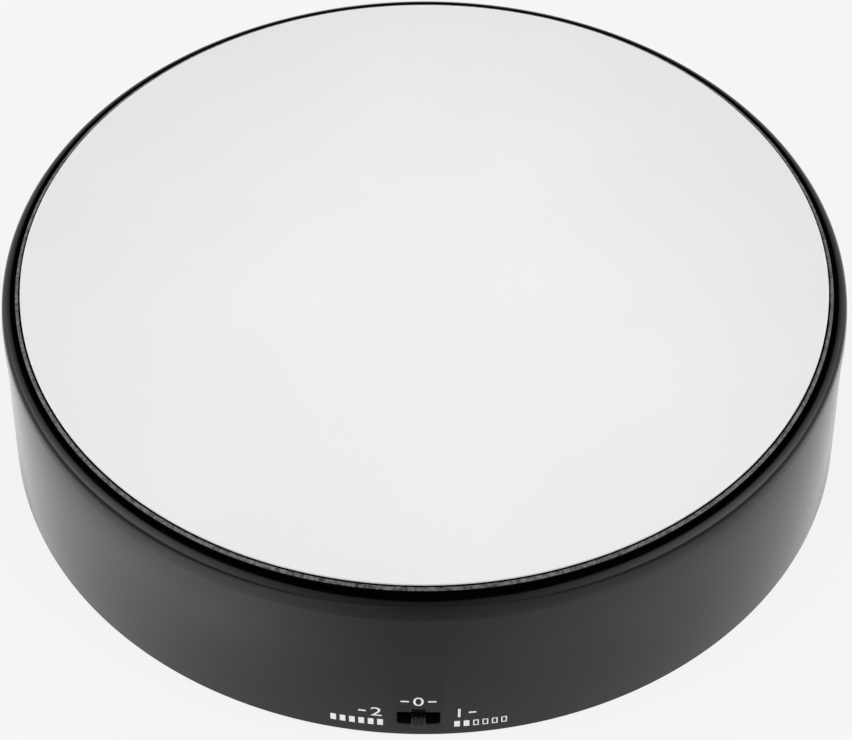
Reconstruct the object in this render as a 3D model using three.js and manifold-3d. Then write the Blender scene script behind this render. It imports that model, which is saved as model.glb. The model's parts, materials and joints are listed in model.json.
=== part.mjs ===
// A battery turntable display stand, 200 mm across, as an assembly of its separate pieces.
// Units are millimetres and +Z is up. The origin is on the resting plane, at the centre of the
// feet, and the slide switch faces -Y.
import * as THREE from "three";
import { mergeVertices } from "three/addons/utils/BufferGeometryUtils.js";
import Module from "manifold-3d";

const wasm = await Module();
wasm.setup();

// ---------------------------------------------------------------- driving dimensions

// Heights above the resting plane.
const FOOT_PROUD = 1.3;
const BASE_BOTTOM = FOOT_PROUD;
const WALL_TOP = BASE_BOTTOM + 40.9;
const RUN_GAP = 0.4;
const SKIRT_BOTTOM = WALL_TOP + RUN_GAP;
const RIM_TOP = BASE_BOTTOM + 46.9;
const GROOVE_FLOOR = RIM_TOP + 0.1;
const RIDGE_FOOT = RIM_TOP + 0.3;
const RIDGE_TOP = RIM_TOP + 0.65;
const SEAT_TOP = RIM_TOP + 0.6;
const SHEET_THICKNESS = 0.6;
const PLATTER_UNDERSIDE = RIM_TOP - 2.5;
const DECK_TOP = WALL_TOP - 2.6;
const DECK_THICKNESS = 2.4;
const DECK_UNDERSIDE = DECK_TOP - DECK_THICKNESS;

// Radii of the outer shells.
const PLATTER_RADIUS = 100;
const SHOULDER_RADIUS = 99.5;
const SKIRT_THICKNESS = 2.4;
const RIM_ROUND = 3.0;
const RIDGE_OUTER = 96.3;
const RIDGE_INNER = 95.6;
const SHEET_RADIUS = 95.15;
const WALL_RADIUS = 99.6;
const WALL_THICKNESS = 2.4;
const WALL_INSIDE = WALL_RADIUS - WALL_THICKNESS;
const LIP_OUTER = 96.4;
const LIP_INNER = 94.6;
const LIP_TOP = WALL_TOP + 1.0;

// Bottom cover, its screws and the feet.
const COVER_RADIUS = WALL_INSIDE - 0.3;
const COVER_THICKNESS = 2.0;
const COVER_TOP = BASE_BOTTOM + COVER_THICKNESS;
const COVER_BOSS_RADIUS = 6;
const COVER_BOSS_TOP = COVER_TOP + 1.7;
const COVER_SCREW_CIRCLE = 84;
const COVER_SCREW_ANGLES = [20, 160, 250, 290];
const COVER_SCREW_SEAT = COVER_TOP + 0.1;
const COVER_SCREW_HEAD = 3.0;
const POST_RADIUS = 4;
const POST_BOTTOM = COVER_BOSS_TOP + 0.1;
const FOOT_RADIUS = 8;
const FOOT_CIRCLE = 82;
const CORNER_ANGLES = [45, 135, 225, 315];
const FOOT_SINK = 0.8;

// Battery compartment for three AA cells lying side by side along X.
const CELL_RADIUS = 7.1;
const CELL_LENGTH = 50;
const CELL_PITCH = 15.4;
const CELL_COUNT = 3;
const CELL_HEIGHT = COVER_TOP + 7.6;
const BATTERY_WALL = 1.6;
const BATTERY_HALF_X = 28.6;
const BATTERY_FRONT = 29.6;
const BATTERY_BACK = 78.6;
const BATTERY_CEILING = 18.8;
const DOOR_CLEARANCE = 0.3;
const DOOR_THICKNESS = 1.8;
const DOOR_HINGE_Y = BATTERY_FRONT + 1.3;
const DOOR_HINGE_Z = BASE_BOTTOM + DOOR_THICKNESS / 2;

// Slide switch: the slot is in the wall at the front, close to the bottom edge.
const SLOT_HALF_WIDTH = 4.85;
const SLOT_HALF_HEIGHT = 2.05;
const SLOT_HEIGHT = BASE_BOTTOM + 6.1;
const SLOT_CORNER = 0.5;
const KNOB_HALF_WIDTH = 1.65;
const KNOB_HALF_HEIGHT = 1.7;
const KNOB_TIP_Y = -(WALL_RADIUS + 1.4);
const KNOB_GROOVE = 0.5;

// Gearbox: four layers of gears between a tray and a lid, with upright axles.
const TRAY_BOTTOM = 17;
const PLATE_THICKNESS = 2;
const TRAY_TOP = TRAY_BOTTOM + PLATE_THICKNESS;
const LID_TOP = DECK_UNDERSIDE;
const LID_BOTTOM = LID_TOP - PLATE_THICKNESS;
const PLATE_LEFT = -41;
const PLATE_RIGHT = 39;
const PLATE_FRONT = -45;
const PLATE_BACK = 25;
const PLATE_CORNER = 6;
const PILLAR_INSET = 5;
const PILLAR_RADIUS = 3.4;
const BOSS_RADIUS = 3.2;
const BOSS_TOP = DECK_TOP + 3.4;
const LAYER_START = TRAY_TOP + 1;
const LAYER_WIDTH = 3;
const LAYER_PITCH = 3.6;
const LAST_LAYER_WIDTH = 3.5;
const PIN_RADIUS = 1.0;
const PIN_BORE = 1.08;
const COLLAR_RADIUS = 2.2;
const SHAFT_RADIUS = 3.0;
const SHAFT_BORE = 3.06;
const SHAFT_BOTTOM = TRAY_BOTTOM - 3.2;

// The train, from the motor to the platter. Angles place each gear from the one it drives.
const FINE_MODULE = 0.7;
const COARSE_MODULE = 0.8;
const PINION_TEETH = 10;
const FIRST_WHEEL_TEETH = 40;
const THIRD_WHEEL_TEETH = 36;
const LAST_PINION_TEETH = 12;
const OUTPUT_TEETH = 48;
const PRESSURE_ANGLE = THREE.MathUtils.degToRad(20);
const BACKLASH = 0.16;

const C_DISTANCE = centreDistance(COARSE_MODULE, LAST_PINION_TEETH, OUTPUT_TEETH);
const B_DISTANCE = centreDistance(COARSE_MODULE, PINION_TEETH, THIRD_WHEEL_TEETH);
const A_DISTANCE = centreDistance(FINE_MODULE, PINION_TEETH, FIRST_WHEEL_TEETH);
const C_DIRECTION = 210;
const B_DIRECTION = -55;
const A_DIRECTION = 0;
const MOTOR_DIRECTION = 40;
const OUTPUT_AXIS = new THREE.Vector2(0, 0);
const C_AXIS = stepFrom(OUTPUT_AXIS, C_DISTANCE, C_DIRECTION);
const B_AXIS = stepFrom(C_AXIS, B_DISTANCE, B_DIRECTION);
const A_AXIS = stepFrom(B_AXIS, A_DISTANCE, A_DIRECTION);
const MOTOR_AXIS = stepFrom(A_AXIS, A_DISTANCE, MOTOR_DIRECTION);

// Motor.
const CAN_RADIUS = 12.2;
const CAN_WALL = 0.8;
const CAN_BOTTOM = 5;
const MOTOR_SHAFT_RADIUS = 1.0;

// Support rollers under the edge of the platter, on axles that point outwards.
const ROLLER_CIRCLE = 78;
const ROLLER_RADIUS = 4.2;
const ROLLER_HALF_WIDTH = 2.8;
const ROLLER_HEIGHT = PLATTER_UNDERSIDE - 0.3 - ROLLER_RADIUS;
const AXLE_RADIUS = 1.0;
const AXLE_BORE = 1.08;
const CHEEK_THICKNESS = 1.6;
const POCKET_HALF_RADIAL = 3.5;
const POCKET_HALF_ACROSS = 5.4;
const CHEEK_HALF_ACROSS = 2.6;
const CHEEK_TOP = ROLLER_HEIGHT + 2.1;

// Wires inside the base.
const WIRE_RADIUS = 0.6;
const WIRE_SIDES = 6;

// Number of sides on round shapes of large, middle and small size.
const LARGE = 72;
const MIDDLE = 20;
const SMALL = 12;
const HALF_TURN = Math.PI;
const FULL_TURN = 2 * Math.PI;
const TINY = 0.01;

// ---------------------------------------------------------------- materials

const materials = {
  platterBlack: plastic(0x0b0b0c, 0.16),
  shellBlack: plastic(0x1d1d1f, 0.42),
  sheetWhite: plastic(0xf4f4f3, 0.5),
  gearWhite: plastic(0xe9e6dc, 0.45),
  frameGrey: plastic(0x3b3d40, 0.5),
  switchBlack: plastic(0x101011, 0.4),
  rubber: plastic(0x17171a, 0.9),
  steel: metal(0xb9bcc0, 0.3),
  brass: metal(0xc6a15a, 0.3),
  copper: metal(0xb5693c, 0.35),
  magnet: metal(0x4a4a4e, 0.6),
  cellJacket: plastic(0x2f6f4f, 0.4),
  wireRed: plastic(0xb3221e, 0.5),
  wireBlack: plastic(0x151515, 0.5),
  wireYellow: plastic(0xd0a21c, 0.5),
  resistorBody: plastic(0xc9b48a, 0.6),
};

function plastic(color, roughness) {
  return new THREE.MeshStandardMaterial({ color, roughness, metalness: 0 });
}

function metal(color, roughness) {
  return new THREE.MeshStandardMaterial({ color, roughness, metalness: 1 });
}

// ---------------------------------------------------------------- geometry helpers

function centreDistance(module, teethA, teethB) {
  return (module * (teethA + teethB)) / 2;
}

function polar(radius, degrees) {
  const angle = THREE.MathUtils.degToRad(degrees);
  return new THREE.Vector2(radius * Math.cos(angle), radius * Math.sin(angle));
}

function stepFrom(point, distance, degrees) {
  return point.clone().add(polar(distance, degrees));
}

// Turns a profile of [radius, height] pairs about the Z axis. A profile that doesn't start and
// end on the axis is closed by repeating its first point.
function lathe(profile, segments = MIDDLE) {
  const points = profile.map(([radius, height]) => new THREE.Vector2(radius, height));
  const onAxis = profile[0][0] === 0 && profile.at(-1)[0] === 0;
  if (!onAxis) points.push(points[0].clone());
  return new THREE.LatheGeometry(points, segments).rotateX(HALF_TURN / 2);
}

function rod(radius, bottom, top, segments = SMALL) {
  return lathe([[0, bottom], [radius, bottom], [radius, top], [0, top]], segments);
}

function ring(inner, outer, bottom, top, segments = MIDDLE) {
  return lathe([[inner, bottom], [outer, bottom], [outer, top], [inner, top]], segments);
}

function rodAlongX(radius, halfLength, segments = SMALL) {
  return rod(radius, -halfLength, halfLength, segments).rotateY(HALF_TURN / 2);
}

function box(left, right, front, back, bottom, top) {
  return new THREE.BoxGeometry(right - left, back - front, top - bottom).translate(
    (left + right) / 2,
    (front + back) / 2,
    (bottom + top) / 2,
  );
}

function extrude(shape, bottom, top) {
  const settings = { depth: top - bottom, bevelEnabled: false, steps: 1, curveSegments: 3 };
  return new THREE.ExtrudeGeometry(shape, settings).translate(0, 0, bottom);
}

function roundedRectangle(left, right, front, back, corner) {
  const shape = new THREE.Shape();
  shape.absarc(right - corner, back - corner, corner, 0, HALF_TURN / 2);
  shape.absarc(left + corner, back - corner, corner, HALF_TURN / 2, HALF_TURN);
  shape.absarc(left + corner, front + corner, corner, HALF_TURN, 1.5 * HALF_TURN);
  shape.absarc(right - corner, front + corner, corner, 1.5 * HALF_TURN, FULL_TURN);
  return shape;
}

function moved(geometry, point, height = 0) {
  return geometry.clone().translate(point.x, point.y, height);
}

// A closed geometry as a manifold-3d solid.
function solid(geometry) {
  const bare = geometry.index ? geometry.toNonIndexed() : geometry.clone();
  bare.deleteAttribute("normal");
  bare.deleteAttribute("uv");
  const merged = mergeVertices(bare, 1e-4);
  return new wasm.Manifold(
    new wasm.Mesh({
      numProp: 3,
      vertProperties: merged.attributes.position.array,
      triVerts: new Uint32Array(merged.index.array),
    }),
  );
}

function join(...geometries) {
  return geometries.map(solid).reduce((whole, piece) => whole.add(piece));
}

// Cuts the tools, which are geometries, out of a solid and returns a geometry.
function cut(body, tools = []) {
  const carved = tools.reduce((whole, tool) => whole.subtract(solid(tool)), body);
  const mesh = carved.getMesh();
  const geometry = new THREE.BufferGeometry();
  geometry.setAttribute("position", new THREE.BufferAttribute(mesh.vertProperties, 3));
  geometry.setIndex(new THREE.BufferAttribute(mesh.triVerts, 1));
  const faceted = geometry.toNonIndexed();
  faceted.computeVertexNormals();
  return faceted;
}

function node(parent, name, geometry, material) {
  const mesh = new THREE.Mesh(geometry, material);
  mesh.name = name;
  parent.add(mesh);
  return mesh;
}

// A pan-head screw that points up: its head is under the seat and its shank goes above it.
function plainScrew(headRadius, headHeight, shankRadius, length) {
  const profile = [
    [0, -headHeight],
    [headRadius * 0.7, -headHeight],
    [headRadius, -headHeight * 0.45],
    [headRadius, 0],
    [shankRadius, 0],
    [shankRadius, length - shankRadius],
    [0, length],
  ];
  return lathe(profile, SMALL);
}

// The same screw with a cross recess in its head.
function crossScrew(headRadius, headHeight, shankRadius, length) {
  const depth = headHeight * 0.6;
  const reach = headRadius * 0.55;
  const half = headRadius * 0.13;
  const bottom = -headHeight - 1;
  const top = -headHeight + depth;
  const cross = join(
    box(-reach, reach, -half, half, bottom, top),
    box(-half, half, -reach, reach, bottom, top),
  );
  return cut(solid(plainScrew(headRadius, headHeight, shankRadius, length)).subtract(cross));
}

// ---------------------------------------------------------------- gears

function involute(angle) {
  return Math.tan(angle) - angle;
}

// Outline of a spur gear with involute flanks. addendum and dedendum are in modules, flankPoints
// is the number of points along one side of a tooth.
function gearShape(teeth, module, addendum, dedendum, flankPoints) {
  const pitchRadius = (teeth * module) / 2;
  const baseRadius = pitchRadius * Math.cos(PRESSURE_ANGLE);
  const root = pitchRadius - dedendum * module;
  const tip = pitchRadius + addendum * module;
  const halfAtPitch = HALF_TURN / (2 * teeth) - BACKLASH / (4 * pitchRadius);
  const halfAngleAt = (radius) => {
    const flankAngle = Math.acos(baseRadius / Math.max(radius, baseRadius));
    return halfAtPitch + involute(PRESSURE_ANGLE) - involute(flankAngle);
  };
  const outline = [];
  for (let tooth = 0; tooth < teeth; tooth += 1) {
    const centre = (FULL_TURN * tooth) / teeth;
    for (const side of [-1, 1]) {
      for (let k = 0; k < flankPoints; k += 1) {
        const along = side < 0 ? k : flankPoints - 1 - k;
        const radius = THREE.MathUtils.lerp(root, tip, along / (flankPoints - 1));
        const angle = centre + side * halfAngleAt(radius);
        outline.push(new THREE.Vector2(radius * Math.cos(angle), radius * Math.sin(angle)));
      }
    }
  }
  return new THREE.Shape(outline);
}

function wheel(teeth, module, bottom, top) {
  return extrude(gearShape(teeth, module, 0.7, 1.1, 2), bottom, top);
}

function pinion(teeth, module, bottom, top) {
  return extrude(gearShape(teeth, module, 0.8, 0.95, 3), bottom, top);
}

function layerBottom(layer) {
  return LAYER_START + layer * LAYER_PITCH;
}

// Direction in degrees from one axis to another.
function bearing(from, to) {
  return THREE.MathUtils.radToDeg(Math.atan2(to.y - from.y, to.x - from.x));
}

// Angle that brings a tooth gap of a driven gear onto the line to its driver when the driver's
// tooth, at driverAngle, is somewhere near that line.
function meshAngle(driverAngle, driverTeeth, drivenTeeth, lineAngle) {
  const driverPhase = ((lineAngle - driverAngle) * driverTeeth) / 360;
  const backLine = lineAngle + 180;
  return backLine + ((driverPhase + 0.5) * 360) / drivenTeeth;
}

// ---------------------------------------------------------------- the platter and its shaft

function buildPlatter(group) {
  // The skirt leans inwards as it rises, and the rounding meets it and the flat rim smoothly.
  const upright = HALF_TURN / 2;
  const lean = Math.atan((PLATTER_RADIUS - SHOULDER_RADIUS) / (RIM_TOP - SKIRT_BOTTOM));
  const roundCentre = SHOULDER_RADIUS - RIM_ROUND / Math.tan((upright + lean) / 2);
  const roundSteps = 5;
  const rounding = [];
  for (let k = 0; k <= roundSteps; k += 1) {
    const angle = lean + ((upright - lean) * k) / roundSteps;
    rounding.push([
      roundCentre + RIM_ROUND * Math.cos(angle),
      RIM_TOP - RIM_ROUND + RIM_ROUND * Math.sin(angle),
    ]);
  }
  const stiffener = { inner: 50, outer: 51.5, drop: 1.4 };
  const profile = [
    [0, PLATTER_UNDERSIDE],
    [stiffener.inner, PLATTER_UNDERSIDE],
    [stiffener.inner, PLATTER_UNDERSIDE - stiffener.drop],
    [stiffener.outer, PLATTER_UNDERSIDE - stiffener.drop],
    [stiffener.outer, PLATTER_UNDERSIDE],
    [PLATTER_RADIUS - SKIRT_THICKNESS, PLATTER_UNDERSIDE],
    [PLATTER_RADIUS - SKIRT_THICKNESS, SKIRT_BOTTOM],
    [PLATTER_RADIUS, SKIRT_BOTTOM],
    ...rounding,
    [RIDGE_OUTER, RIM_TOP],
    [RIDGE_OUTER, RIDGE_FOOT],
    [RIDGE_INNER, RIDGE_TOP],
    [RIDGE_INNER, GROOVE_FLOOR],
    [SHEET_RADIUS, GROOVE_FLOOR],
    [SHEET_RADIUS, SEAT_TOP],
    [0, SEAT_TOP],
  ];
  const hub = { radius: 8, bottom: 41, boreTop: 46.3, seat: 47.2, screwHole: 1.6, headHole: 3.5 };
  const body = join(lathe(profile, LARGE), rod(hub.radius, hub.bottom, PLATTER_UNDERSIDE + 1, MIDDLE));
  const shell = cut(body, [
    rod(SHAFT_BORE, hub.bottom - 1, hub.boreTop, MIDDLE),
    rod(hub.screwHole, hub.boreTop - 1, SEAT_TOP + 1),
    rod(hub.headHole, hub.seat, SEAT_TOP + 1, MIDDLE),
  ]);
  node(group, "platter", shell, materials.platterBlack);

  const edge = 0.15;
  const sheet = lathe(
    [
      [0, SEAT_TOP],
      [SHEET_RADIUS, SEAT_TOP],
      [SHEET_RADIUS, SEAT_TOP + SHEET_THICKNESS - edge],
      [SHEET_RADIUS - edge, SEAT_TOP + SHEET_THICKNESS],
      [0, SEAT_TOP + SHEET_THICKNESS],
    ],
    LARGE,
  );
  node(group, "top_sheet", sheet, materials.sheetWhite);

  const screwRadius = 1.3;
  const screwLength = 8;
  const shaftTop = hub.boreTop - 0.1;
  const grooveRadius = 2.4;
  const grooveBottom = SHAFT_BOTTOM + 0.6;
  const grooveTop = grooveBottom + 0.8;
  const shaft = lathe(
    [
      [0, SHAFT_BOTTOM],
      [SHAFT_RADIUS, SHAFT_BOTTOM],
      [SHAFT_RADIUS, grooveBottom],
      [grooveRadius, grooveBottom],
      [grooveRadius, grooveTop],
      [SHAFT_RADIUS, grooveTop],
      [SHAFT_RADIUS, shaftTop],
      [0, shaftTop],
    ],
    MIDDLE,
  );
  const tappedHole = rod(screwRadius + 0.05, shaftTop - screwLength, shaftTop + 1);
  node(group, "drive_shaft", cut(solid(shaft), [tappedHole]), materials.steel);

  const clip = ring(grooveRadius + 0.05, 5, grooveBottom + 0.05, grooveTop - 0.05);
  const mouth = box(-1.8, 1.8, -6, 0, grooveBottom - 1, grooveTop + 1);
  node(group, "shaft_clip", cut(solid(clip), [mouth]), materials.steel);

  const hubScrew = crossScrew(3.1, 1.1, screwRadius, screwLength - 0.5);
  hubScrew.rotateX(HALF_TURN).translate(0, 0, hub.seat);
  node(group, "hub_screw", hubScrew, materials.steel);

  const layer = layerBottom(3);
  const hubGear = join(
    wheel(OUTPUT_TEETH, COARSE_MODULE, layer, layer + LAST_LAYER_WIDTH),
    rod(6, TRAY_TOP + 1.3, layer + 1, MIDDLE),
  );
  const shaftHole = rod(SHAFT_RADIUS + 0.05, TRAY_TOP, LID_TOP, MIDDLE);
  node(group, "output_gear", cut(hubGear, [shaftHole]), materials.gearWhite);
}

// ---------------------------------------------------------------- compound gears and motor

// A gear wheel with the pinion that drives the next stage above it, on one pin.
function compoundGear(spec) {
  const bottom = layerBottom(spec.layer);
  const pinionTop = layerBottom(spec.layer + 1) + spec.pinionWidth;
  const body = join(
    wheel(spec.wheelTeeth, spec.wheelModule, bottom, bottom + LAYER_WIDTH),
    pinion(spec.pinionTeeth, spec.pinionModule, bottom + LAYER_WIDTH - TINY, pinionTop),
    rod(COLLAR_RADIUS, TRAY_TOP + 0.4, LID_BOTTOM - 0.4),
  );
  return cut(body, [rod(PIN_BORE, TRAY_TOP, LID_TOP)]);
}

function placeGear(group, name, geometry, axis, degrees, material) {
  const mesh = node(group, name, geometry, material);
  mesh.position.set(axis.x, axis.y, 0);
  mesh.rotation.z = THREE.MathUtils.degToRad(degrees);
}

function buildTrain(group) {
  const outputToC = bearing(OUTPUT_AXIS, C_AXIS);
  const cAngle = meshAngle(0, OUTPUT_TEETH, LAST_PINION_TEETH, outputToC);
  const cToB = bearing(C_AXIS, B_AXIS);
  const bAngle = meshAngle(cAngle, THIRD_WHEEL_TEETH, PINION_TEETH, cToB);
  const bToA = bearing(B_AXIS, A_AXIS);
  const aAngle = meshAngle(bAngle, FIRST_WHEEL_TEETH, PINION_TEETH, bToA);
  const aToMotor = bearing(A_AXIS, MOTOR_AXIS);
  const motorAngle = meshAngle(aAngle, FIRST_WHEEL_TEETH, PINION_TEETH, aToMotor);

  const gearC = compoundGear({
    layer: 2,
    wheelTeeth: THIRD_WHEEL_TEETH,
    wheelModule: COARSE_MODULE,
    pinionTeeth: LAST_PINION_TEETH,
    pinionModule: COARSE_MODULE,
    pinionWidth: LAST_LAYER_WIDTH,
  });
  placeGear(group, "gear_c", gearC, C_AXIS, cAngle, materials.gearWhite);

  const gearB = compoundGear({
    layer: 1,
    wheelTeeth: FIRST_WHEEL_TEETH,
    wheelModule: FINE_MODULE,
    pinionTeeth: PINION_TEETH,
    pinionModule: COARSE_MODULE,
    pinionWidth: LAYER_WIDTH,
  });
  placeGear(group, "gear_b", gearB, B_AXIS, bAngle, materials.gearWhite);

  const gearA = compoundGear({
    layer: 0,
    wheelTeeth: FIRST_WHEEL_TEETH,
    wheelModule: FINE_MODULE,
    pinionTeeth: PINION_TEETH,
    pinionModule: FINE_MODULE,
    pinionWidth: LAYER_WIDTH,
  });
  placeGear(group, "gear_a", gearA, A_AXIS, aAngle, materials.gearWhite);

  const pinionTop = LAYER_START + LAYER_WIDTH;
  const motorPinion = cut(solid(pinion(PINION_TEETH, FINE_MODULE, LAYER_START, pinionTop)), [
    rod(MOTOR_SHAFT_RADIUS + 0.04, LAYER_START - 1, pinionTop + 1),
  ]);
  placeGear(group, "motor_pinion", motorPinion, MOTOR_AXIS, motorAngle, materials.brass);

  const armature = { radius: 9.5, bottom: 7.8, top: 15 };
  const commutator = { radius: 2.6, bottom: 6.9 };
  const rotor = lathe(
    [
      [0, CAN_BOTTOM - 0.5],
      [MOTOR_SHAFT_RADIUS, CAN_BOTTOM - 0.5],
      [MOTOR_SHAFT_RADIUS, commutator.bottom],
      [commutator.radius, commutator.bottom],
      [commutator.radius, armature.bottom],
      [armature.radius, armature.bottom],
      [armature.radius, armature.top],
      [MOTOR_SHAFT_RADIUS, armature.top],
      [MOTOR_SHAFT_RADIUS, pinionTop],
      [0, pinionTop],
    ],
    SMALL,
  );
  placeGear(group, "motor_rotor", rotor, MOTOR_AXIS, 0, materials.copper);
}

function buildMotorBody(group) {
  const canInside = CAN_RADIUS - CAN_WALL;
  const shaftHole = MOTOR_SHAFT_RADIUS + 0.08;
  const boss = 3;
  const can = lathe([
    [CAN_RADIUS, CAN_BOTTOM],
    [CAN_RADIUS, TRAY_BOTTOM],
    [boss, TRAY_BOTTOM],
    [boss, TRAY_TOP - 0.2],
    [shaftHole, TRAY_TOP - 0.2],
    [shaftHole, TRAY_BOTTOM - CAN_WALL],
    [canInside, TRAY_BOTTOM - CAN_WALL],
    [canInside, CAN_BOTTOM],
  ]);
  node(group, "motor_can", moved(can, MOTOR_AXIS), materials.steel);

  const magnet = ring(10, canInside - 0.05, 7.4, TRAY_BOTTOM - CAN_WALL - 0.1);
  node(group, "motor_magnet", moved(magnet, MOTOR_AXIS), materials.magnet);

  const capRadius = canInside - 0.1;
  const bearingRadius = 3.6;
  const bearingBottom = CAN_BOTTOM - 1.2;
  const terminal = { half: 1, inner: 6, outer: 9.5, bottom: CAN_BOTTOM - 1.2 };
  const cap = join(
    rod(capRadius, CAN_BOTTOM, CAN_BOTTOM + 1.5, MIDDLE),
    rod(bearingRadius, bearingBottom, CAN_BOTTOM + 1),
    box(terminal.inner, terminal.outer, -terminal.half, terminal.half, terminal.bottom, CAN_BOTTOM + 1),
    box(-terminal.outer, -terminal.inner, -terminal.half, terminal.half, terminal.bottom, CAN_BOTTOM + 1),
  );
  const blindBore = rod(shaftHole, CAN_BOTTOM - 0.6, CAN_BOTTOM + 3);
  node(group, "motor_end_cap", moved(cut(cap, [blindBore]), MOTOR_AXIS), materials.switchBlack);
}

// ---------------------------------------------------------------- gearbox frame

function pillarPlaces() {
  const places = [];
  for (const y of [PLATE_FRONT + PILLAR_INSET, PLATE_BACK - PILLAR_INSET]) {
    for (const x of [PLATE_LEFT + PILLAR_INSET, PLATE_RIGHT - PILLAR_INSET]) {
      places.push(new THREE.Vector2(x, y));
    }
  }
  return places;
}

function buildGearbox(group) {
  const outline = roundedRectangle(PLATE_LEFT, PLATE_RIGHT, PLATE_FRONT, PLATE_BACK, PLATE_CORNER);
  const screwHole = 1.3;
  const screwLength = BOSS_TOP - 1.8 - TRAY_BOTTOM;
  const pinHole = PIN_RADIUS + 0.02;
  const bushHole = 5.05;
  const pinAxes = [C_AXIS, B_AXIS, A_AXIS];
  const pillars = pillarPlaces();
  const through = [-1, DECK_TOP];
  const sharedHoles = [
    ...pillars.map((place) => moved(rod(screwHole, ...through), place)),
    ...pinAxes.map((axis) => moved(rod(pinHole, ...through), axis)),
  ];

  const tray = join(
    extrude(outline, TRAY_BOTTOM, TRAY_TOP),
    ...pillars.map((place) => moved(rod(PILLAR_RADIUS, TRAY_BOTTOM + 1, LID_BOTTOM), place)),
  );
  const trayGeometry = cut(tray, [
    ...sharedHoles,
    rod(bushHole, TRAY_BOTTOM - 1, TRAY_TOP + 1, MIDDLE),
    moved(rod(3.1, TRAY_BOTTOM - 1, TRAY_TOP + 1), MOTOR_AXIS),
  ]);
  node(group, "gearbox_tray", trayGeometry, materials.frameGrey);

  const lidGeometry = cut(solid(extrude(outline, LID_BOTTOM, LID_TOP)), [
    ...sharedHoles,
    rod(bushHole, LID_BOTTOM - 1, LID_TOP + 1, MIDDLE),
  ]);
  node(group, "gearbox_lid", lidGeometry, materials.frameGrey);

  const pin = rod(PIN_RADIUS, TRAY_BOTTOM + 0.3, LID_TOP - 0.2);
  ["gear_pin_c", "gear_pin_b", "gear_pin_a"].forEach((name, index) => {
    node(group, name, moved(pin, pinAxes[index]), materials.steel);
  });

  const lowerBush = lathe([
    [SHAFT_BORE, TRAY_BOTTOM - 0.8],
    [5, TRAY_BOTTOM - 0.8],
    [5, TRAY_TOP],
    [6.5, TRAY_TOP],
    [6.5, TRAY_TOP + 1],
    [SHAFT_BORE, TRAY_TOP + 1],
  ]);
  node(group, "shaft_bush_lower", lowerBush, materials.brass);

  const upperBush = lathe([
    [SHAFT_BORE, LID_BOTTOM],
    [5, LID_BOTTOM],
    [5, DECK_TOP],
    [8, DECK_TOP],
    [8, DECK_TOP + 1],
    [SHAFT_BORE, DECK_TOP + 1],
  ]);
  node(group, "shaft_bush_upper", upperBush, materials.brass);

  const screw = plainScrew(2.4, 1.6, screwHole - 0.15, screwLength);
  pillars.forEach((place, index) => {
    node(group, `gearbox_screw_${index + 1}`, moved(screw, place, TRAY_BOTTOM), materials.steel);
  });
}

// ---------------------------------------------------------------- base shell

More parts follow.
